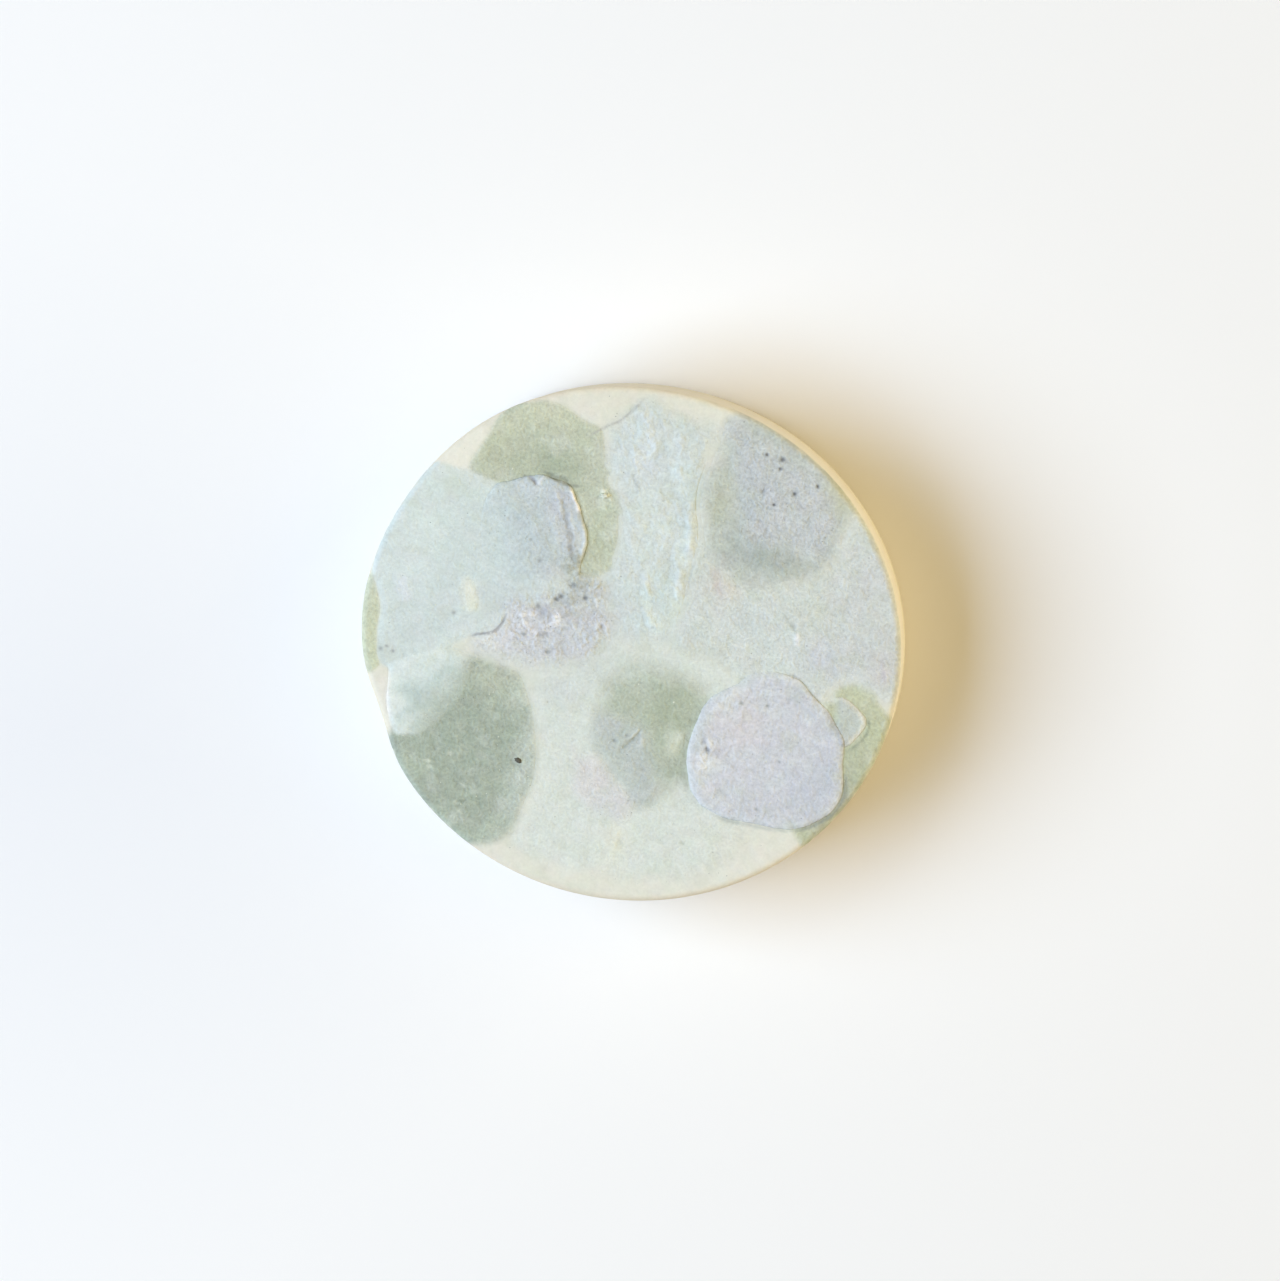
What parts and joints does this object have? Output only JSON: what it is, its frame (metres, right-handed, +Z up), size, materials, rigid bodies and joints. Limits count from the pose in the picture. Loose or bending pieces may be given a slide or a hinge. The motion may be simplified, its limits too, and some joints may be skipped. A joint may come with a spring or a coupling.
{
  "type": "shaving soap puck",
  "caption": "Oval hand-poured shaving soap puck: a flat cream soap body with sage, mint, lilac and pink pats of soap set into its face.",
  "frame": {"origin": "middle of the flat underside, at the centre of the overall length and width", "axes": "+Z up out of the decorated face, +X along the long diameter, +Y along the short diameter"},
  "size_m": [0.076, 0.0716, 0.0243],
  "materials": {
    "cream_soap": "matt, smooth, slightly waxy",
    "sage_soap": "matt, faintly grainy",
    "deep_sage_soap": "matt, faintly grainy",
    "mint_soap": "matt, dusted with pale ash",
    "lilac_soap": "matt, dusted with pale ash",
    "grey_lilac_soap": "matt, dusted with pale ash",
    "pink_soap": "matt, dusted with pale ash",
    "dried_herb": "matt"
  },
  "bodies": {
    "root": {"cream_body": "cream_soap", "cream_spot_west": "cream_soap", "cream_spot_centre": "cream_soap", "sage_drop_northwest": "sage_soap", "sage_drop_west": "sage_soap", "sage_drop_southwest": "deep_sage_soap", "sage_drop_centre": "sage_soap", "sage_drop_southeast": "sage_soap", "sage_drop_northeast": "sage_soap", "mint_sheet_west": "mint_soap", "mint_sheet_north": "mint_soap", "mint_sheet_east": "mint_soap", "mint_sheet_south": "mint_soap", "mint_film_southwest": "mint_soap", "mint_tab_east": "mint_soap", "lilac_pat_southeast": "lilac_soap", "lilac_smear_centre": "lilac_soap", "lilac_flap_west": "grey_lilac_soap", "lilac_film_centre": "grey_lilac_soap", "lilac_skin_northeast": "grey_lilac_soap", "pink_smear_south": "pink_soap", "pink_smear_east": "pink_soap", "herb_speck": "dried_herb", "soap_crumb": "sage_soap"}
  },
  "joints": []
}
